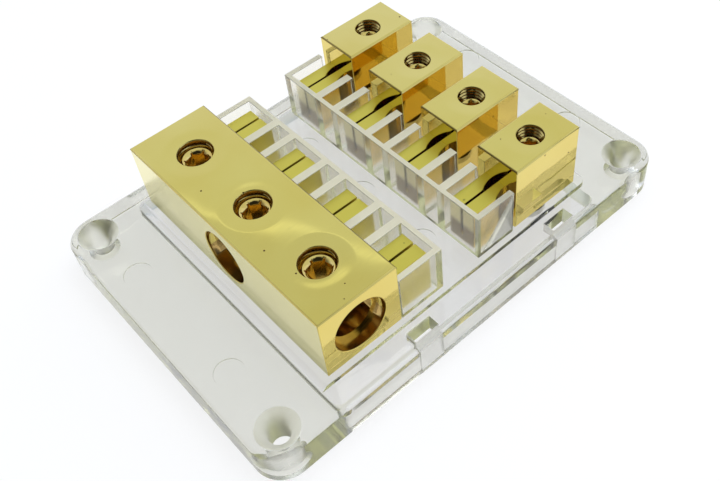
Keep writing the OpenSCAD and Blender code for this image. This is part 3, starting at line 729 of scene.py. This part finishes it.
class FUSEBLOCK_OT_hole_threads(bpy.types.Operator):
    """Cut the threads that show in the clamp screws' holes"""

    bl_idname = "fuse_block.hole_threads"
    bl_label = "Hole threads"

    def execute(self, context):
        props = context.scene.fuse_block_thread
        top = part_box("supply_bar")[1].z - props.lead_in
        groups = [("supply", SUPPLY_SCREWS, props.supply_pitch, props.supply_hole_l, "supply_brass"),
                  ("outlet", OUTLET_SCREWS, props.outlet_pitch, props.outlet_hole_l, "outlet_brass")]
        for group, screws, pitch, reach, metal in groups:
            bm = bmesh.new()
            for screw in screws:
                low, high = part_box(screw)
                middle, radius = (low + high) / 2, (high.x - low.x) / 2
                thread(bm, middle, radius + props.hole_gap + props.root, radius + props.crest_gap,
                       top - reach, top, pitch, props.steps)
            # The threads take on part of the painted shade of the holes' walls
            drilled_painted_shade = bm.faces.layers.float.new("drilled_painted_shade")
            for face in bm.faces:
                face[drilled_painted_shade] = props.cut_dull
            finished(f"{group}_hole_threads", bm, FIXED, "brass", bpy.data.materials[metal])
        return {"FINISHED"}


class FUSEBLOCK_OT_clamp_screws(bpy.types.Operator):
    """Make the hexagon socket clamp screws with their threads"""

    bl_idname = "fuse_block.clamp_screws"
    bl_label = "Clamp screws"

    def socket(self, bm, low, high, props, cut):
        """Turns a screw's shank down for its thread, narrows its socket and marks painted shade on the socket's floor.
        """
        middle, radius = (low + high) / 2, (high.x - low.x) / 2
        floor_depth, cone_depth, mouth_edge = 0.5 * MM, 0.7 * MM, 0.12 * MM
        painted_shade = bm.faces.layers.float.new("painted_shade")
        for face in bm.faces:
            centre = face.calc_center_median()
            deep = centre.z < high.z - floor_depth and (centre - middle).xy.length < props.socket_reach * radius
            # Painted shade on the socket's floor, standing in for the shade deep in the socket
            if deep and face.normal.z > LOOKING:
                face[painted_shade] = props.floor_painted_shade
        mouth = min((vert.co - middle).xy.length for vert in bm.verts if vert.co.z > high.z - SAME)
        for vert in bm.verts:
            spread = (vert.co - middle).xy
            if spread.length > radius - TOUCHING:
                spread *= (radius - cut.screw_depth) / spread.length
            elif spread.length < mouth - mouth_edge and vert.co.z > low.z + NEAR:
                spread *= props.socket_fit
                if vert.co.z > high.z - cone_depth:
                    vert.co.z = high.z - mouth + spread.length
            vert.co.xy = middle.xy + spread

    def execute(self, context):
        props, cut = context.scene.fuse_block_screw, context.scene.fuse_block_thread
        material = plated_material("gilt_steel", props.gilt, props.gilt_deep, props.gilt_polish, props.painted_shade)
        groups = [("supply", SUPPLY_SCREWS, cut.supply_pitch), ("outlet", OUTLET_SCREWS, cut.outlet_pitch)]
        for group, screws, pitch in groups:
            for i, screw in enumerate(screws, 1):
                low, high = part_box(screw)
                radius = (high.x - low.x) / 2
                bm = node_copy(screw)
                self.socket(bm, low, high, props, cut)
                thread(bm, (low + high) / 2, radius - cut.screw_depth - cut.root, radius - SAME,
                       low.z + 2 * NEAR, high.z - 2 * NEAR, pitch, cut.steps)
                finished(f"{group}_clamp_{i}", bm, f"{group}_screw_{i}", "screw_brass", material, screw)
        return {"FINISHED"}


class FUSEBLOCK_OT_fixing_screws(bpy.types.Operator):
    """Finish the plated screws under the base"""

    bl_idname = "fuse_block.fixing_screws"
    bl_label = "Fixing screws"

    def execute(self, context):
        props = context.scene.fuse_block_screw
        material = plated_material("plated_steel", props.steel, props.steel_deep, props.steel_polish, props.painted_shade)
        for node in FIXINGS:
            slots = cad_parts[node].data.materials
            slots.clear()
            slots.append(material)
        return {"FINISHED"}


class FUSEBLOCK_OT_stage(bpy.types.Operator):
    """Set up the floor, the light and the camera"""

    bl_idname = "fuse_block.stage"
    bl_label = "Studio"

    def execute(self, context):
        scene, props = context.scene, context.scene.fuse_block_stage
        self.floor(scene, props)
        self.sky(scene, props)
        self.lamp(scene, "key_lamp", props.key_at, props.key_w, props.key)
        self.lamp(scene, "fill_lamp", props.fill_at, props.fill_w, props.fill)
        self.camera(scene, props)
        scene.view_settings.view_transform = "Standard"
        scene.cycles.max_bounces = 28
        scene.cycles.transmission_bounces = 24
        scene.cycles.glossy_bounces = 12
        return {"FINISHED"}

    def floor(self, scene, props):
        """A plain pale floor, partly lit by itself."""
        bm = bmesh.new()
        bmesh.ops.create_grid(bm, x_segments=1, y_segments=1, size=props.floor_w)
        bmesh.ops.translate(bm, verts=bm.verts, vec=(0.0, 0.0, -props.floor_gap))
        mesh = bpy.data.meshes.new("floor")
        bm.to_mesh(mesh)
        bm.free()
        material, _, shader, _ = started("pale_floor")
        shader.inputs["Base Color"].default_value = opaque(c * (1 - props.floor_glow) for c in props.floor)
        shader.inputs["Roughness"].default_value = 1.0
        shader.inputs["Specular IOR Level"].default_value = 0.0
        shader.inputs["Emission Color"].default_value = (1.0, 1.0, 1.0, 1.0)
        shader.inputs["Emission Strength"].default_value = props.floor_glow
        mesh.materials.append(material)
        floor = bpy.data.objects.new("floor", mesh)
        scene.collection.objects.link(floor)

    def sky(self, scene, props):
        """The studio's walls and ceiling, the ceiling's far edge, the dark side and the camera's stand."""
        wall_blur, edge_blur, line_w = 0.07, 0.012, 0.007
        dark_start, dark_full, stand_blur = 0.05, 0.6, 0.2
        world = bpy.data.worlds.new("studio")
        world.use_nodes = True
        scene.world = world
        tree = world.node_tree
        direction = put(tree, "ShaderNodeTexCoord").outputs["Generated"]
        rise = put(tree, "ShaderNodeSeparateXYZ", {0: direction}).outputs[2]
        raised = ranged(tree, rise, props.sky_rise - wall_blur, props.sky_rise + wall_blur, 0.0, 1.0, smooth=True)
        sky = mixed(tree, raised, opaque(props.sky_low), opaque(props.sky_high))
        edge = put(tree, "ShaderNodeVectorMath", {0: direction, 1: props.edge_across}, operation="DOT_PRODUCT")
        edge = sums(tree, "SUBTRACT", edge.outputs["Value"], props.edge_place)
        level = ranged(tree, edge, -edge_blur, edge_blur, props.beyond_edge, 1.0, smooth=True)
        line = ranged(tree, sums(tree, "ABSOLUTE", edge), 0.0, line_w, props.edge_line, 0.0, smooth=True)
        level = put(tree, "ShaderNodeCombineColor", {i: sums(tree, "ADD", level, line) for i in range(3)}).outputs[0]
        sky = put(tree, "ShaderNodeMix", {0: 1.0, 6: sky, 7: level}, data_type="RGBA", blend_type="MULTIPLY").outputs[2]
        facing = put(tree, "ShaderNodeVectorMath", {0: direction, 1: props.dark_from}, operation="DOT_PRODUCT")
        shade = ranged(tree, facing.outputs["Value"], dark_start, dark_full, 0.0, props.dark_depth, smooth=True)
        sky = mixed(tree, shade, sky, opaque(props.dark))
        stand = tuple(Vector(props.camera_at).normalized())
        nearing = put(tree, "ShaderNodeVectorMath", {0: direction, 1: stand}, operation="DOT_PRODUCT")
        wide, narrow = (math.cos(props.stand_reach * k) for k in (1 + stand_blur, 1 - stand_blur))
        shade = ranged(tree, nearing.outputs["Value"], wide, narrow, 0.0, 1.0, smooth=True)
        background = tree.nodes["Background"]
        tree.links.new(mixed(tree, shade, sky, opaque(props.stand)), background.inputs[0])
        background.inputs[1].default_value = 1.0

    def lamp(self, scene, name, at_place, size, power):
        """A square lamp that looks at the middle and doesn't show in the brass."""
        data = bpy.data.lights.new(name, "AREA")
        data.shape, data.size, data.energy = "SQUARE", size, power
        lamp = bpy.data.objects.new(name, data)
        lamp.location = at_place
        lamp.rotation_euler = (-Vector(at_place)).to_track_quat("-Z", "Y").to_euler()
        lamp.visible_glossy = False
        scene.collection.objects.link(lamp)

    def camera(self, scene, props):
        """The camera at the photograph's viewing angle."""
        data = bpy.data.cameras.new("camera")
        frame_w, nearest, farthest = 36.0, 0.001, 20.0
        data.lens, data.sensor_width = props.lens, frame_w
        data.shift_x, data.shift_y = props.shift
        data.clip_start, data.clip_end = nearest, farthest
        camera = bpy.data.objects.new("camera", data)
        camera.location, camera.rotation_euler = props.camera_at, props.camera_turn
        scene.collection.objects.link(camera)
        scene.camera = camera


OPERATORS = (FUSEBLOCK_OT_clear_base, FUSEBLOCK_OT_supply_bar, FUSEBLOCK_OT_outlet_terminals,
             FUSEBLOCK_OT_hole_threads, FUSEBLOCK_OT_clamp_screws, FUSEBLOCK_OT_fixing_screws, FUSEBLOCK_OT_stage)
GROUPS = {"fuse_block_plastic": FuseBlockPlastic, "fuse_block_brass": FuseBlockBrass,
          "fuse_block_thread": FuseBlockThread, "fuse_block_screw": FuseBlockScrew,
          "fuse_block_stage": FuseBlockStage}


class FUSEBLOCK_PT_pieces(bpy.types.Panel):
    """The fuse block's pieces"""

    bl_idname = "FUSEBLOCK_PT_pieces"
    bl_label = "Fuse Block"
    bl_space_type = "VIEW_3D"
    bl_region_type = "UI"
    bl_category = "Fuse Block"

    def draw(self, context):
        for operator in OPERATORS:
            self.layout.operator(operator.bl_idname)


CLASSES = (*GROUPS.values(), *OPERATORS, FUSEBLOCK_PT_pieces)


def register():
    """Registers the classes and puts the sizes and colours on the scene."""
    for made in CLASSES:
        bpy.utils.register_class(made)
    for name, group in GROUPS.items():
        setattr(bpy.types.Scene, name, PointerProperty(type=group))


def unregister():
    """Takes them off again."""
    for name in GROUPS:
        delattr(bpy.types.Scene, name)
    for made in reversed(CLASSES):
        bpy.utils.unregister_class(made)


def main():
    """Dresses the part piece by piece."""
    register()
    bpy.ops.fuse_block.clear_base()
    bpy.ops.fuse_block.supply_bar()
    bpy.ops.fuse_block.outlet_terminals()
    bpy.ops.fuse_block.hole_threads()
    bpy.ops.fuse_block.clamp_screws()
    bpy.ops.fuse_block.fixing_screws()
    bpy.ops.fuse_block.stage()


if __name__ == "__main__":
    main()
